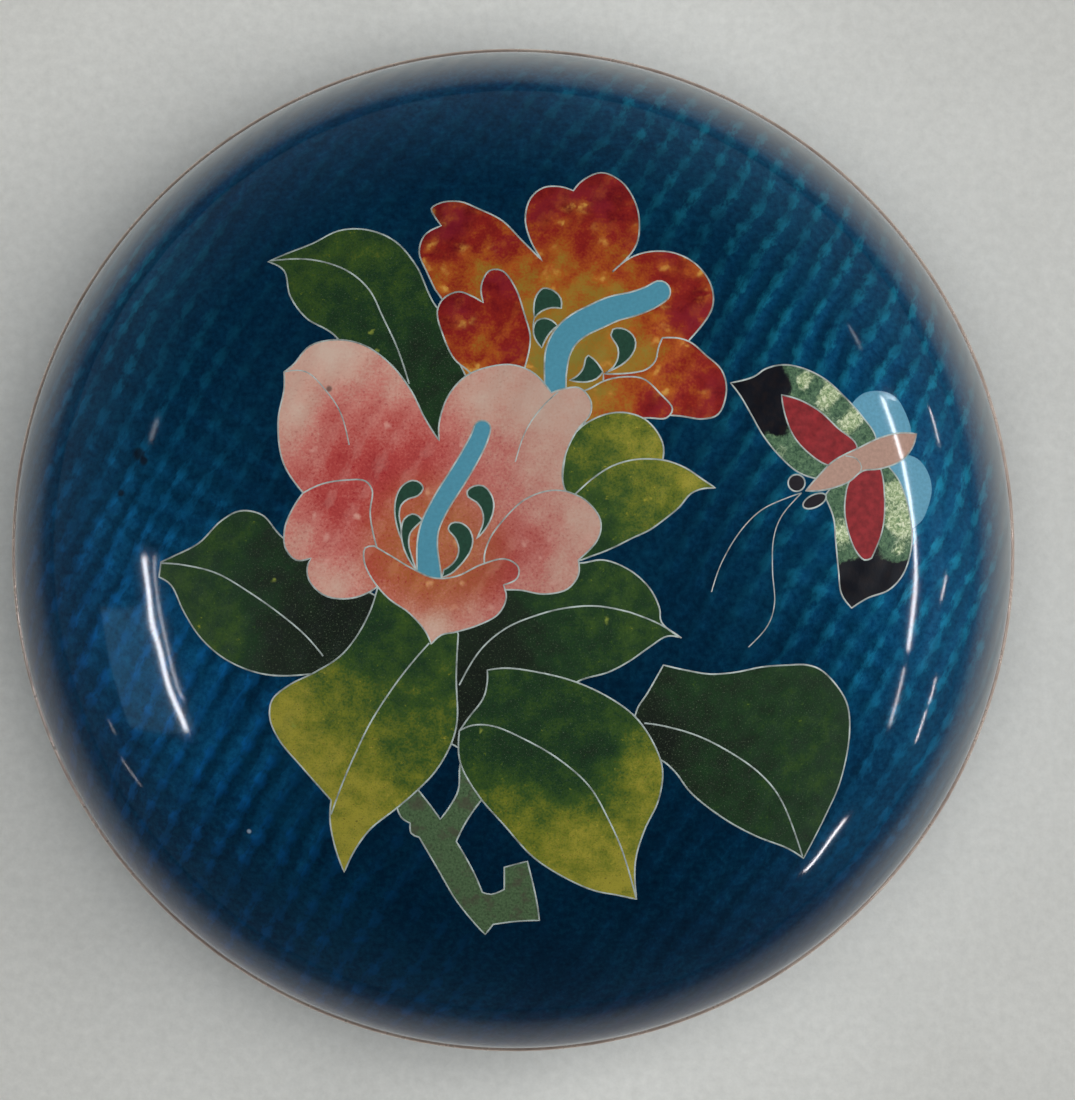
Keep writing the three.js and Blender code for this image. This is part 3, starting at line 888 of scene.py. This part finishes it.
class Tree:
    """Short calls for wiring up the nodes of a material or a world.

    Places on the sheet are in millimetres, and an object's own places are in metres.
    """

    def __init__(self, owner):
        owner.use_nodes = True
        self.owner = owner
        self.nodes = owner.node_tree.nodes
        self.links = owner.node_tree.links
        self.shader = self.nodes.get("Principled BSDF")

    def add(self, kind, inputs=None, out=0, **settings):
        made = self.nodes.new(kind)
        for key, value in settings.items():
            setattr(made, key, value)
        for key, value in (inputs or {}).items():
            self.put(made.inputs[key], value)
        return made.outputs[out]

    def put(self, socket, value):
        if isinstance(value, bpy.types.NodeSocket):
            self.links.new(value, socket)
        else:
            socket.default_value = value

    def set(self, **values):
        for key, value in values.items():
            self.put(self.shader.inputs[key.replace("_", " ")], value)

    def read(self, name, out="Fac"):
        return self.add("ShaderNodeAttribute", out=out, attribute_name=name)

    def maths(self, kind, a, b=0.0, c=0.0, clamp=False):
        return self.add("ShaderNodeMath", {0: a, 1: b, 2: c}, operation=kind, use_clamp=clamp)

    def between(self, value, low, high, to_low=0.0, to_high=1.0, kind="LINEAR"):
        """A value carried over from one range to another, and held at its ends."""
        ends = {"From Min": low, "From Max": high, "To Min": to_low, "To Max": to_high}
        return self.add("ShaderNodeMapRange", {"Value": value, **ends}, interpolation_type=kind)

    def steps(self, value, low, high, to_low=0.0, to_high=1.0):
        """The same with a soft start and end."""
        return self.between(value, low, high, to_low, to_high, "SMOOTHSTEP")

    def times(self, a, b, clamp=False):
        return self.maths("MULTIPLY", a, b, clamp=clamp)

    def along(self, place, direction):
        """How far a place lies in a direction."""
        return self.add("ShaderNodeVectorMath", {0: place, 1: direction}, "Value", operation="DOT_PRODUCT")

    def away(self, place, point):
        """How far a place lies from a point."""
        return self.add("ShaderNodeVectorMath", {0: place, 1: point}, "Value", operation="DISTANCE")

    def noise(self, place, scale, detail=2.0, roughness=0.5, distortion=0.0, out="Fac"):
        kind = {"Scale": scale, "Detail": detail, "Roughness": roughness, "Distortion": distortion}
        return self.add("ShaderNodeTexNoise", {"Vector": place, **kind}, out)

    def parts(self, place):
        """The X, Y and Z of a place."""
        split = self.nodes.new("ShaderNodeSeparateXYZ")
        self.put(split.inputs[0], place)
        return split.outputs

    def stretched(self, place, amounts):
        return self.add("ShaderNodeVectorMath", {0: place, 1: amounts}, operation="MULTIPLY")

    def shifted(self, place, way):
        return self.add("ShaderNodeVectorMath", {0: place, 1: way}, operation="ADD")

    def object_place(self):
        return self.add("ShaderNodeTexCoord", out="Object")

    def ramp(self, value, stops):
        made = self.nodes.new("ShaderNodeValToRGB")
        elements = made.color_ramp.elements
        while len(elements) < len(stops):
            elements.new(0.5)
        for element, (position, colour) in zip(elements, stops):
            element.position = position
            element.color = (*colour, 1)
        self.put(made.inputs[0], value)
        return made.outputs[0]

    def mix(self, share, a, b, blend="MIX"):
        made = self.nodes.new("ShaderNodeMix")
        made.data_type = "RGBA"
        made.blend_type = blend
        self.put(made.inputs[0], share)
        self.put(made.inputs[6], a if isinstance(a, bpy.types.NodeSocket) else (*a, 1))
        self.put(made.inputs[7], b if isinstance(b, bpy.types.NodeSocket) else (*b, 1))
        return made.outputs[2]

    def bump(self, height, distance=MM, strength=1.0):
        return self.add("ShaderNodeBump", {"Height": height, "Distance": distance, "Strength": strength})

    def foil(self):
        """The pressed foil: the place on it, its height, where its dimples lie and how well they show."""
        sheet = self.read("sheet", "Vector")
        drift = self.noise(sheet, 0.07, 1.0, out="Color")
        place = self.shifted(sheet, self.stretched(drift, (3.0, 3.0, 0.0)))
        turn = {"Vector": place, "Angle": -FOIL_TURN}
        place = self.add("ShaderNodeVectorRotate", turn, rotation_type="Z_AXIS")
        turns = 2 * math.pi / FOIL_PITCH
        split = self.parts(place)
        rows = self.maths("COSINE", self.times(split["Y"], turns))
        beads = self.maths("COSINE", self.times(split["X"], turns))
        crinkle = self.noise(self.stretched(place, (0.6, 1.1, 1.0)), 1.9, 4.0, 0.65)
        patches = self.steps(self.noise(sheet, 0.22, 2.0), 0.32, 0.62, 0.3, 1.0)
        pressed = self.maths("MULTIPLY_ADD", rows, 0.062, self.times(beads, 0.03))
        height = self.maths("MULTIPLY_ADD", crinkle, 0.05, self.times(pressed, patches))
        spot = self.maths("MULTIPLY_ADD", rows, 0.66, self.times(beads, 0.22))
        dimple = self.steps(self.maths("MULTIPLY_ADD", crinkle, 2.4, spot), 1.25, 2.15)
        return sheet, height, dimple, patches

    def speckled(self, sheet, tone, cloudy, grainy, tone_grain):
        """A tone made uneven by soft clouds and by grain that is stronger where the tone is high."""
        cloud = self.maths("SUBTRACT", self.noise(sheet, 0.5, 3.0, 0.6), 0.5)
        grain = self.maths("SUBTRACT", self.noise(sheet, 4.0, 3.0, 0.7), 0.5)
        share = self.maths("MULTIPLY_ADD", tone, tone_grain, grainy)
        clouded = self.maths("MULTIPLY_ADD", cloud, cloudy, tone)
        return self.maths("MULTIPLY_ADD", grain, share, clouded)

    def sparkle(self, sheet, spacing, radius, share, ragged=0.0):
        """Small spots, one in this share of the cells of an uneven net, round or pulled out of shape."""
        if ragged:
            pull = self.noise(sheet, 0.9, 3.0, out="Color")
            sheet = self.shifted(sheet, self.stretched(pull, (ragged * 3, ragged * 3, 0)))
        net = self.nodes.new("ShaderNodeTexVoronoi")
        net.voronoi_dimensions = "2D"
        self.put(net.inputs["Scale"], 1 / spacing)
        self.put(net.inputs["Vector"], sheet)
        chosen = self.maths("GREATER_THAN", net.outputs["Color"], 1 - share)
        return self.times(self.steps(net.outputs["Distance"], 0.0, radius / spacing, 1.0, 0.0), chosen)

    def mark(self, sheet, colour, point, radius, tint, strength=1.0):
        """A small mark of another colour around a point of the picture."""
        centre = tuple(sheet_from_view([point])[0])
        share = self.steps(self.away(sheet, (*centre, 0)), radius * 0.4, radius, strength, 0.0)
        return self.mix(share, colour, tint)

    def enamelled(self, colour, height, relief=1.0, metallic=0.0, roughness=0.5):
        """The finished enamel: a colour with the foil's relief, under clear polished glass."""
        pressed = self.bump(height, strength=relief)
        self.set(Base_Color=colour, Metallic=metallic, Roughness=roughness, Normal=pressed)
        swell = self.noise(self.read("sheet", "Vector"), 0.12, 1.0)
        self.set(Coat_Weight=1.0, Coat_Roughness=0.06, Coat_IOR=1.6)
        self.set(Coat_Normal=self.bump(swell, strength=0.05))
        return self.owner


def ground_enamel(name="blue_enamel"):
    """Transparent blue over silver foil, with painted light on the two sides that face the lamps, painted
    shade towards the bottom, and a painted reflection of the paper, pale near the rim.
    """
    tree = Tree(bpy.data.materials.new(name))
    sheet, height, dimple, patches = tree.foil()
    blotch = tree.noise(sheet, 1.6, 3.0, 0.65)
    depth = tree.noise(sheet, 0.12, 2.0, 0.5)
    depth_and_painted_glow = tree.maths("MULTIPLY_ADD", depth, 0.4, tree.maths("MULTIPLY_ADD", blotch, 0.9, -0.15))
    # Painted light: on the two sides that face the lamps the foil is painted lighter, and its dimples painted
    # shining.
    across = tree.along(sheet, (0.94, 0.34, 0))
    facing = tree.steps(tree.maths("ABSOLUTE", across), 12.0, 32.0, 0.1, 0.9)
    depth_and_painted_glow = tree.maths("MULTIPLY_ADD", facing, 0.12, depth_and_painted_glow)
    colour = tree.ramp(
        depth_and_painted_glow,
        [(0.2, (0.003, 0.058, 0.16)), (0.5, (0.006, 0.12, 0.29)), (0.85, (0.015, 0.25, 0.5))],
    )
    # Painted highlights: the dimples on the lamp sides, in a glint colour from blue low down to teal higher
    # up.
    painted_shine = tree.times(tree.times(dimple, patches), facing)
    up = tree.along(sheet, (0.4, 0.9, 0))
    glint = tree.mix(tree.steps(up, -30.0, 20.0), (0.012, 0.29, 0.8), (0.03, 0.52, 0.8))
    colour = tree.mix(painted_shine, colour, glint)
    edge = tree.read("edge")
    colour = tree.mix(tree.steps(edge, 2.0, 13.0, 0.7, 0.0), colour, (0.002, 0.02, 0.06))
    # Painted shade: darker towards the bottom.
    colour = tree.mix(tree.steps(up, -30.0, 25.0, 0.33, 0.0), colour, (0.001, 0.008, 0.02))
    # Painted reflection of the paper: pale near the rim, stronger at the top.
    paper_reflection = tree.times(tree.steps(edge, 2.5, 10.2, 0.85, 0.0), tree.steps(up, -45.0, 40.0, 0.12, 1.0))
    colour = tree.mix(paper_reflection, colour, (0.63, 0.62, 0.59))
    # Painted glints: tiny pale sparkles of the foil.
    colour = tree.mix(tree.sparkle(sheet, 2.5, 0.16, 0.03), colour, (0.5, 0.7, 0.8))
    for point, radius in (((-37.4, 9.6), 0.9), ((-36.9, 8.9), 0.6), ((-39.2, 5.7), 0.5)):
        colour = tree.mark(sheet, colour, point, radius, (0.02, 0.014, 0.012), 0.75)
    # Painted glint: one small pale speck.
    colour = tree.mark(sheet, colour, (-26.4, -28.1), 0.3, (0.6, 0.75, 0.85))
    tree.set(Specular_Tint=(0.05, 0.2, 0.35, 1))
    return tree.enamelled(colour, height, metallic=0.87, roughness=0.45)


def leaf_enamel():
    """Greens from near black to yellow, with dark stipple, a few yellow flecks, and painted glints of the
    foil.
    """
    tree = Tree(bpy.data.materials.new("leaf_enamel"))
    sheet, height, _, _ = tree.foil()
    tone = tree.speckled(sheet, tree.read("tone"), 0.6, 0.35, 0.2)
    flecks = tree.steps(tree.noise(sheet, 1.3, 3.0, 0.75), 0.6, 0.78)
    tone = tree.maths("MULTIPLY_ADD", flecks, 0.35, tone)
    colour = tree.ramp(
        tone,
        [
            (0.0, (0.012, 0.017, 0.012)),
            (0.2, (0.016, 0.029, 0.016)),
            (0.42, (0.018, 0.056, 0.02)),
            (0.62, (0.055, 0.115, 0.02)),
            (0.8, (0.2, 0.23, 0.024)),
            (1.0, (0.42, 0.37, 0.045)),
        ],
    )
    stipple = tree.steps(tree.noise(sheet, 4.0, 2.0, 0.6), 0.58, 0.72, 0.0, 0.6)
    colour = tree.mix(stipple, colour, (0.01, 0.018, 0.01))
    # Painted glints: yellow sparkles of the foil, and pale specks that show most in the dark greens.
    colour = tree.mix(tree.sparkle(sheet, 2.0, 0.35, 0.12, 0.6), colour, (0.3, 0.36, 0.06))
    painted_glitter = tree.steps(tree.noise(sheet, 6.0, 2.0, 0.7), 0.58, 0.72, 0.0, 0.6)
    painted_glitter = tree.times(painted_glitter, tree.steps(tone, 0.2, 0.6, 1.0, 0.4))
    colour = tree.mix(painted_glitter, colour, (0.2, 0.26, 0.16))
    return tree.enamelled(colour, height, relief=0.7, metallic=0.12)


def stem_enamel():
    """Grey green with brown patches."""
    tree = Tree(bpy.data.materials.new("stem_enamel"))
    sheet, height, _, _ = tree.foil()
    grain = tree.noise(sheet, 4.0, 3.0, 0.7)
    greens = [(0.3, (0.045, 0.06, 0.035)), (0.5, (0.09, 0.165, 0.075)), (0.7, (0.14, 0.21, 0.11))]
    colour = tree.ramp(grain, greens)
    brown = tree.steps(tree.noise(sheet, 0.6, 3.0, 0.6), 0.5, 0.68, 0.0, 0.7)
    colour = tree.mix(brown, colour, (0.09, 0.085, 0.06))
    return tree.enamelled(colour, height, relief=0.5, metallic=0.1)


def pink_enamel():
    """Opaque pale pink deepening to rose and orange, with red specks, painted glints in the rose and painted
    shade on the right.
    """
    tree = Tree(bpy.data.materials.new("pink_enamel"))
    sheet, height, dimple, _ = tree.foil()
    grain = tree.noise(sheet, 4.0, 3.0, 0.7)
    rose = tree.read("tone")
    tone = tree.speckled(sheet, rose, 0.4, 0.2, 0.7)
    colour = tree.ramp(
        tone,
        [
            (0.0, (0.86, 0.62, 0.5)),
            (0.22, (0.82, 0.47, 0.37)),
            (0.45, (0.74, 0.23, 0.19)),
            (0.7, (0.6, 0.085, 0.075)),
            (1.0, (0.42, 0.03, 0.035)),
        ],
    )
    heart = tuple(sheet_from_view([(-8, 0)])[0])
    away = tree.away(sheet, (*heart, 0))
    near = tree.steps(away, 3.0, 9.0, 0.8, 0.0)
    near = tree.times(near, tree.steps(grain, 0.3, 0.6, 0.5, 1.0))
    colour = tree.mix(near, colour, (0.5, 0.16, 0.035))
    specks = tree.steps(tree.noise(sheet, 3.2, 1.0), 0.6, 0.72)
    colour = tree.mix(tree.times(specks, rose), colour, (0.45, 0.02, 0.03))
    # Painted glints: shining dimples and sparkles in the rose.
    spots = tree.maths("MULTIPLY_ADD", dimple, 0.25, tree.sparkle(sheet, 2.2, 0.5, 0.3, 0.5))
    painted_glints = tree.times(tree.times(spots, rose), 0.9, clamp=True)
    colour = tree.mix(painted_glints, colour, tree.mix(near, (1.0, 0.58, 0.48), (1.0, 0.5, 0.12)))
    # Painted shade: darker towards the right.
    across = tree.along(sheet, (1, 0, 0))
    colour = tree.mix(tree.steps(across, -12.0, 4.0, 0.0, 0.24), colour, (0.1, 0.05, 0.04))
    colour = tree.mark(sheet, colour, (-18.4, 16.1), 0.4, (0.16, 0.1, 0.08), 0.8)
    return tree.enamelled(colour, height, relief=0.5, metallic=0.08)


def red_enamel():
    """Transparent crimson to yellow, with painted orange glints on the foil's dimples."""
    tree = Tree(bpy.data.materials.new("red_enamel"))
    sheet, height, dimple, _ = tree.foil()
    tone = tree.speckled(sheet, tree.read("tone"), 0.9, 0.35, 0.2)
    colour = tree.ramp(
        tone,
        [
            (0.0, (0.22, 0.006, 0.014)),
            (0.3, (0.42, 0.027, 0.018)),
            (0.5, (0.58, 0.11, 0.018)),
            (0.72, (0.51, 0.25, 0.03)),
            (1.0, (0.4, 0.31, 0.05)),
        ],
    )
    crimson = tree.steps(tree.noise(sheet, 0.25, 2.0), 0.45, 0.62, 0.0, 0.5)
    crimson = tree.times(crimson, tree.steps(tone, 0.15, 0.5, 1.0, 0.0))
    colour = tree.mix(crimson, colour, (0.4, 0.024, 0.05))
    # Painted highlights: orange glints on the foil's dimples, each in a fainter ring, showing in patches.
    lit = tree.steps(tree.noise(sheet, 0.35, 2.0, 0.5, 0.5), 0.4, 0.62)
    lit = tree.times(lit, tree.steps(tone, 0.0, 0.3, 0.25, 1.0))
    painted_glint_halo = tree.maths("MULTIPLY_ADD", tree.sparkle(sheet, 2.4, 1.7, 0.6, 0.8), 0.5, tree.times(dimple, 0.2))
    colour = tree.mix(tree.times(painted_glint_halo, lit), colour, (0.9, 0.26, 0.03))
    painted_glint_core = tree.times(tree.sparkle(sheet, 2.4, 0.6, 0.6, 0.8), lit)
    colour = tree.mix(painted_glint_core, colour, (1.0, 0.5, 0.1))
    return tree.enamelled(colour, height, relief=0.8, metallic=0.3, roughness=0.45)


def plain_enamel(name, colour, vary=0.25, metallic=0.0, scale=3.0):
    """An opaque enamel of one colour, slightly mottled."""
    tree = Tree(bpy.data.materials.new(name))
    sheet, height, _, _ = tree.foil()
    grain = tree.noise(sheet, scale, 3.0, 0.6)
    dark = tuple(c * (1 - vary) for c in colour)
    light = tuple(min(1, c * (1 + vary)) for c in colour)
    mottled = tree.ramp(grain, [(0.3, dark), (0.7, light)])
    return tree.enamelled(mottled, height, relief=0.3, metallic=metallic)


def fore_wing_enamel():
    """Black at the tip, green nearer the body, with pale spots of crinkled foil."""
    tree = Tree(bpy.data.materials.new("fore_wing_enamel"))
    sheet, height, _, _ = tree.foil()
    tone = tree.read("tone")
    crinkle = tree.noise(sheet, 2.6, 4.0, 0.7, 0.8)
    blacks = [(0.45, (0.007, 0.008, 0.013)), (0.7, (0.017, 0.012, 0.013))]
    greens = [(0.35, (0.025, 0.075, 0.045)), (0.6, (0.14, 0.26, 0.14)), (0.75, (0.3, 0.42, 0.21))]
    pales = [(0.35, (0.12, 0.26, 0.1)), (0.5, (0.5, 0.62, 0.33)), (0.62, (0.9, 0.95, 0.7))]
    black = tree.ramp(tree.noise(sheet, 1.2, 3.0), blacks)
    green = tree.ramp(crinkle, greens)
    pale = tree.ramp(crinkle, pales)
    ragged = tree.maths("MULTIPLY_ADD", crinkle, 0.5, tone)
    colour = tree.mix(tree.steps(ragged, 0.6, 0.9), black, green)
    colour = tree.mix(tree.steps(ragged, 1.45, 1.9), colour, pale)
    return tree.enamelled(colour, height, metallic=0.15, roughness=0.4)


def wire_metal():
    """Greyish silver, rubbed and slightly pitted."""
    tree = Tree(bpy.data.materials.new("wire_silver"))
    place = tree.object_place()
    wear = tree.noise(place, 700.0, 3.0, 0.6)
    colour = tree.ramp(wear, [(0.3, (0.25, 0.29, 0.27)), (0.65, (0.65, 0.75, 0.72))])
    tree.set(Base_Color=colour, Metallic=0.15, Roughness=0.38, Normal=tree.bump(wear, 0.00002, 1.0))
    return tree.owner


def copper_metal():
    """Polished copper, a little browned by handling."""
    tree = Tree(bpy.data.materials.new("copper"))
    place = tree.object_place()
    tone = tree.noise(place, 260.0, 4.0, 0.6)
    scratch = tree.noise(place, 2400.0, 2.0)
    colour = tree.ramp(tone, [(0.3, (0.55, 0.42, 0.36)), (0.55, (0.8, 0.64, 0.55)), (0.8, (0.92, 0.8, 0.68))])
    roughness = tree.steps(tone, 0.3, 0.8, 0.32, 0.22)
    tree.set(Base_Color=colour, Metallic=0.6, Roughness=roughness, Normal=tree.bump(scratch, 0.00001, 0.6))
    return tree.owner


def paper():
    """Slightly creased pale paper, with painted shade: darker away from the light and towards the right."""
    tree = Tree(bpy.data.materials.new("paper"))
    place = tree.object_place()
    cloud = tree.noise(place, 18.0, 4.0, 0.6)
    fibre = tree.noise(place, 900.0, 3.0, 0.7)
    mottle = tree.maths("MULTIPLY_ADD", fibre, 0.5, tree.times(cloud, 0.6))
    colour = tree.ramp(mottle, [(0.35, (0.73, 0.73, 0.69)), (0.75, (0.91, 0.91, 0.865))])
    # Painted shade: the paper darkens away from the lit middle.
    away = tree.away(place, (0.03, 0.05, 0))
    colour = tree.mix(tree.steps(away, 0.1, 0.3), colour, (0.16, 0.16, 0.155))
    # Painted shade: darker towards the right.
    across = tree.along(place, (1, 0, 0))
    colour = tree.mix(tree.steps(across, 0.01, 0.06, 0.0, 0.15), colour, (0.16, 0.16, 0.155))
    crease = tree.noise(place, 14.0, 2.0, 0.5, 0.8)
    height = tree.maths("MULTIPLY_ADD", crease, 4.0, tree.times(fibre, 0.06))
    tree.set(Base_Color=colour, Roughness=0.75, Normal=tree.bump(height, MM, 0.8))
    return tree.owner


# Building the box


def build_lid():
    """The lid's outer enamel: the ground, the figures cut into it, and the wires."""
    draw_picture()
    picture = Picture()
    ground = picture.inlay("lid_ground", None, {"ground": ground_enamel()})
    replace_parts(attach(ground, "root"), "lid_enamel")
    filament = plain_enamel("stamen_enamel", (0.022, 0.07, 0.045))
    pistil = plain_enamel("pistil_enamel", (0.09, 0.33, 0.45), vary=0.08)
    butterfly = {
        "fore_wing": fore_wing_enamel(),
        "red_wing": plain_enamel("red_wing_enamel", (0.3, 0.025, 0.03), vary=0.35, metallic=0.05, scale=1.2),
        "pale_wing": plain_enamel("pale_wing_enamel", (0.14, 0.4, 0.56), vary=0.12),
        "body": plain_enamel("body_enamel", (0.52, 0.32, 0.25), vary=0.12),
        "eye": plain_enamel("eye_enamel", (0.02, 0.017, 0.022)),
    }
    figures = {
        "leaves": {"leaf": leaf_enamel()},
        "stem": {"stem": stem_enamel()},
        "red_blossom": {"red_petal": red_enamel(), "stamen": filament, "pistil": pistil},
        "pink_blossom": {"pink_petal": pink_enamel(), "stamen": filament, "pistil": pistil},
        "butterfly": butterfly,
    }
    for figure, materials in figures.items():
        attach(picture.inlay(figure, figure, materials), "root")
    paths = [(path, 1.0) for path in picture.chains()]
    paths += [(sheet_from_view(path), width) for path, width in veins]
    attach(wire_mesh(paths, wire_metal()), "root")


def bowl_face(inset):
    """Profile of the bowl's outer face, or of the face this far inside it."""
    return quarter(FOOT_RADIUS, BASE_LEVEL, DOME_REACH - FOOT_RADIUS - inset, inset - BASE_DEPTH)


def build_lid_metal(copper):
    inside = quarter(0, DOME_LEVEL, WALL_RADIUS, DOME_RISE - GLASS - WALL)
    outside = quarter(0, DOME_LEVEL, DOME_REACH - GLASS, DOME_RISE - GLASS)
    profile = [*inside, *bead(SEAM, DOME_LEVEL, WALL_RADIUS), *outside[::-1]]
    lid = turned("lid_copper", profile, copper)
    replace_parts(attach(lid, "root"), "lid_body")


def build_bowl(copper):
    outside, inside = bowl_face(GLASS), bowl_face(GLASS + WALL)
    profile = [
        (0, FLOOR + GLASS),
        *outside,
        *bead(BASE_LEVEL, SEAM, outside[-1][0])[1:-1],
        (WALL_RADIUS, SEAM),
        *inside[::-1],
        (0, FLOOR + GLASS + WALL),
    ]
    body = turned("base_copper", profile, copper)
    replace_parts(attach(body, "root"), "base_body")


def build_base_enamel(blue, plain):
    """The enamel of the bowl's side, and the plain panel under it."""
    outside, inside = bowl_face(0), bowl_face(GLASS)
    side = turned("base_side_enamel", [*outside, *inside[::-1], outside[0]], blue)
    paint(side.data, "edge", np.full(len(side.data.loops), CLEAR_OF_RIM_REFLECTION))
    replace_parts(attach(side, "root"), "base_enamel")
    top = FLOOR + GLASS
    panel = turned("underside_panel", [(0, FLOOR), (FOOT_BORE, FLOOR), (FOOT_BORE, top), (0, top)], plain)
    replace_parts(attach(panel, "root"), "underside_enamel")


def build_foot(copper):
    outer = [(FOOT_RADIUS - inward, up) for inward, up in FOOT_CORNER]
    inner = [(FOOT_BORE + inward, up) for inward, up in FOOT_CORNER]
    top = FLOOR + GLASS
    foot = turned("foot_band", [inner[0], *outer, (FOOT_RADIUS, top), (FOOT_BORE, top), *inner[::-1]], copper)
    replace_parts(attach(foot, "root"), "foot_ring")


def dress_nodes(copper, plain):
    """The CAD nodes that stay: the linings and the collar, inside the closed box."""
    for name, material in (("lid_lining", plain), ("base_lining", plain), ("locating_collar", copper)):
        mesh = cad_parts[name].data
        mesh.materials.clear()
        mesh.materials.append(material)


# Setting


def rectangle_light(name, width, height, power, colour=(1, 1, 1)):
    light = bpy.data.lights.new(name, "AREA")
    light.shape = "RECTANGLE"
    light.size, light.size_y = width, height
    light.energy = power
    light.color = colour
    obj = bpy.data.objects.new(name, light)
    bpy.context.scene.collection.objects.link(obj)
    return obj


def broad_light(name, place, side, power):
    """A soft light that shines on the box without showing in its glaze."""
    obj = rectangle_light(name, side, side, power)
    obj.location = place
    obj.rotation_euler = (Vector(LIT_POINT) - Vector(place)).to_track_quat("-Z", "Y").to_euler()
    obj.visible_glossy = False


def mirrored(point):
    """The dome's place at a point of the picture, and the direction that its glaze mirrors to the camera."""
    place, normal = (Vector(v[0]) for v in dome_from_sheet(sheet_from_view([point])))
    view = (Vector((*CAMERA_PLAN, SEAM + CAMERA_DISTANCE)) - place).normalized()
    return place * MM, (2 * view.dot(normal) * normal - view).normalized()


def tube_light(name, start, end, width, radiance, colour):
    """A long thin lamp whose glint on the dome runs between two points of the picture."""
    ends = []
    for point in (start, end):
        place, direction = mirrored(point)
        ends.append(place + direction * LAMP_DISTANCE)
    middle = (ends[0] + ends[1]) / 2
    along = ends[1] - ends[0]
    power = radiance * math.pi * along.length * width
    obj = rectangle_light(name, along.length, width, power, colour)
    along.normalize()
    up = middle.normalized().cross(along).normalized()
    obj.matrix_world = Matrix((along, up, along.cross(up))).transposed().to_4x4()
    obj.location = middle
    obj.visible_diffuse = False


PAPER_SIZE = 2.4

# The broad lights: place, side and power, in metres and watts
LIT_POINT = (0, 0, 0.03)
BROAD_LIGHTS = {
    "key": ((0.36, 0.04, 0.48), 0.35, 1.1),
    "fill": ((0.04, 0.0, 1.0), 0.5, 5.0),
}

# Lamps by the ends of their glints in the picture, with their widths in metres and their radiance
LAMP_DISTANCE = 1.0
LAMP_COLOUR = (0.93, 0.94, 1.0)
LAMPS = {
    "left_lamp": ((-36.8, -0.6), (-32.8, -17.9), 0.018, 22),
    "left_lamp_edge": ((-35.9, -0.6), (-33.1, -14.8), 0.005, 14),
    "left_low_glint": ((-39.2, -20.7), (-37.3, -23.5), 0.005, 8),
    "left_far_glint": ((-40.3, -17.2), (-39.7, -18.6), 0.005, 8),
    "left_high_glint": ((-35.6, 12.9), (-36.0, 11.4), 0.014, 3),
    "right_lamp": ((36.9, 15.4), (39.5, -9.8), 0.015, 22),
    "right_lamp_end": ((39.0, -11.8), (37.6, -17.5), 0.01, 14),
    "right_glint_a": ((41.5, 14.3), (42.5, 10.6), 0.009, 20),
    "right_glint_b": ((43.2, -2.5), (42.7, -4.9), 0.009, 20),
    "right_glint_c": ((42.2, -13.0), (41.6, -15.3), 0.009, 20),
    "right_glint_d": ((41.3, -16.0), (40.3, -19.0), 0.009, 20),
    "right_low_glint": ((33.2, -26.8), (28.9, -32.3), 0.012, 30),
    "right_high_glint": ((33.6, 22.2), (34.7, 20.3), 0.008, 5),
    "right_fleck": ((37.2, 15.5), (38.2, 15.0), 0.008, 14),
}

# Bluish panes beside the lamps, given in the same way
PANE_COLOUR = (0.35, 0.7, 1.0)
PANES = {
    "left_pane": ((-38.6, -5.5), (-35.4, -18.0), 0.34, 0.6),
    "right_pane": ((40.6, 12.0), (41.0, -12.0), 0.09, 0.2),
}


def room_light():
    """A dark ceiling and paler walls towards the horizon, less so on the near side."""
    world = bpy.data.worlds.new("room")
    bpy.context.scene.world = world
    tree = Tree(world)
    background = tree.nodes["Background"]
    background.inputs["Color"].default_value = (0.8, 0.92, 1.0, 1)
    direction = tree.parts(tree.add("ShaderNodeTexCoord", out="Generated"))
    walls = tree.between(direction["Z"], 0.0, 0.6, 0.2, 0.015)
    sides = tree.between(direction["Y"], -1.0, 1.0, 0.35, 1.0)
    tree.put(background.inputs["Strength"], tree.times(walls, sides))


def place_camera():
    scene = bpy.context.scene
    camera = bpy.data.cameras.new("camera")
    camera.sensor_width = SENSOR
    camera.sensor_fit = "HORIZONTAL"
    camera.lens = SENSOR * CAMERA_DISTANCE / FRAME_WIDTH
    camera.clip_start = 0.01
    obj = bpy.data.objects.new("camera", camera)
    scene.collection.objects.link(obj)
    obj.location = (CAMERA_PLAN[0] * MM, CAMERA_PLAN[1] * MM, (SEAM + CAMERA_DISTANCE) * MM)
    scene.camera = obj


def build_setting():
    bpy.ops.mesh.primitive_plane_add(size=PAPER_SIZE, location=(0, 0, 0))
    sheet = bpy.context.object
    sheet.name = "paper_sheet"
    sheet.data.materials.append(paper())
    room_light()
    for name, placed in BROAD_LIGHTS.items():
        broad_light(name, *placed)
    for lights, colour in ((LAMPS, LAMP_COLOUR), (PANES, PANE_COLOUR)):
        for name, placed in lights.items():
            tube_light(name, *placed, colour)
    place_camera()
    bpy.context.scene.view_settings.view_transform = "Standard"


copper = copper_metal()
plain = plain_enamel("plain_enamel", (0.006, 0.035, 0.09))
build_lid()
build_lid_metal(copper)
build_bowl(copper)
build_base_enamel(ground_enamel("base_blue_enamel"), plain)
build_foot(copper)
dress_nodes(copper, plain)
build_setting()
